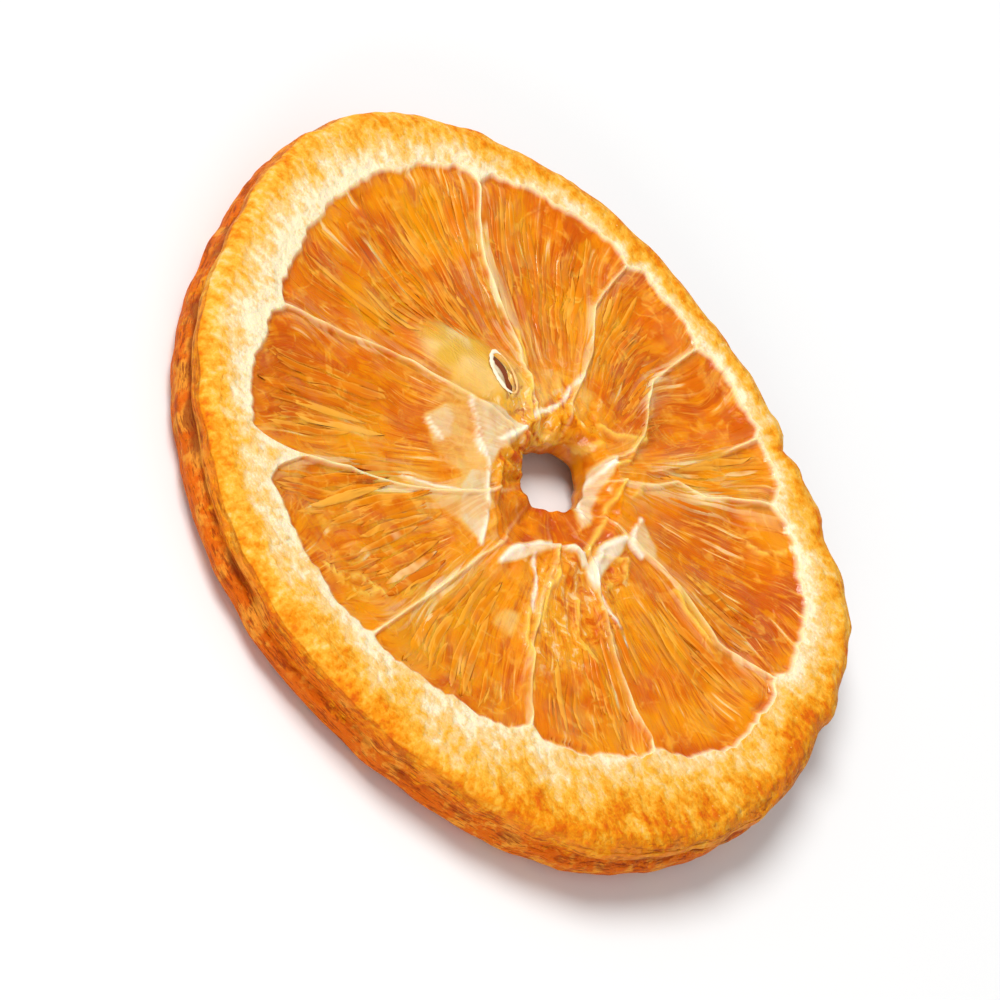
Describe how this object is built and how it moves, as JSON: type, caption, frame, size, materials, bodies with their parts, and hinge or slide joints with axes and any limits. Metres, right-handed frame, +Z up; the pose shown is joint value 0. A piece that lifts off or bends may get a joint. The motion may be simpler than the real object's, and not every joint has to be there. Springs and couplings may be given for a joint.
{
  "type": "dried orange slice",
  "caption": "Dried orange slice: thin round with a creased rind, pale pith ring, sunken flesh between raised radial skins, and a torn hole through the core.",
  "frame": {"origin": "middle of the slice's footprint, on the surface it lies on", "axes": "+Z up through the slice's thickness, +X along its widest direction, +Y across; the picture looks along +Y and down"},
  "size_m": [0.0708, 0.0672, 0.0066],
  "materials": {
    "dried_orange": "tough, slightly glossy dried fruit, translucent in the flesh"
  },
  "bodies": {
    "root": {"dried_orange_slice": "dried_orange"}
  },
  "joints": []
}
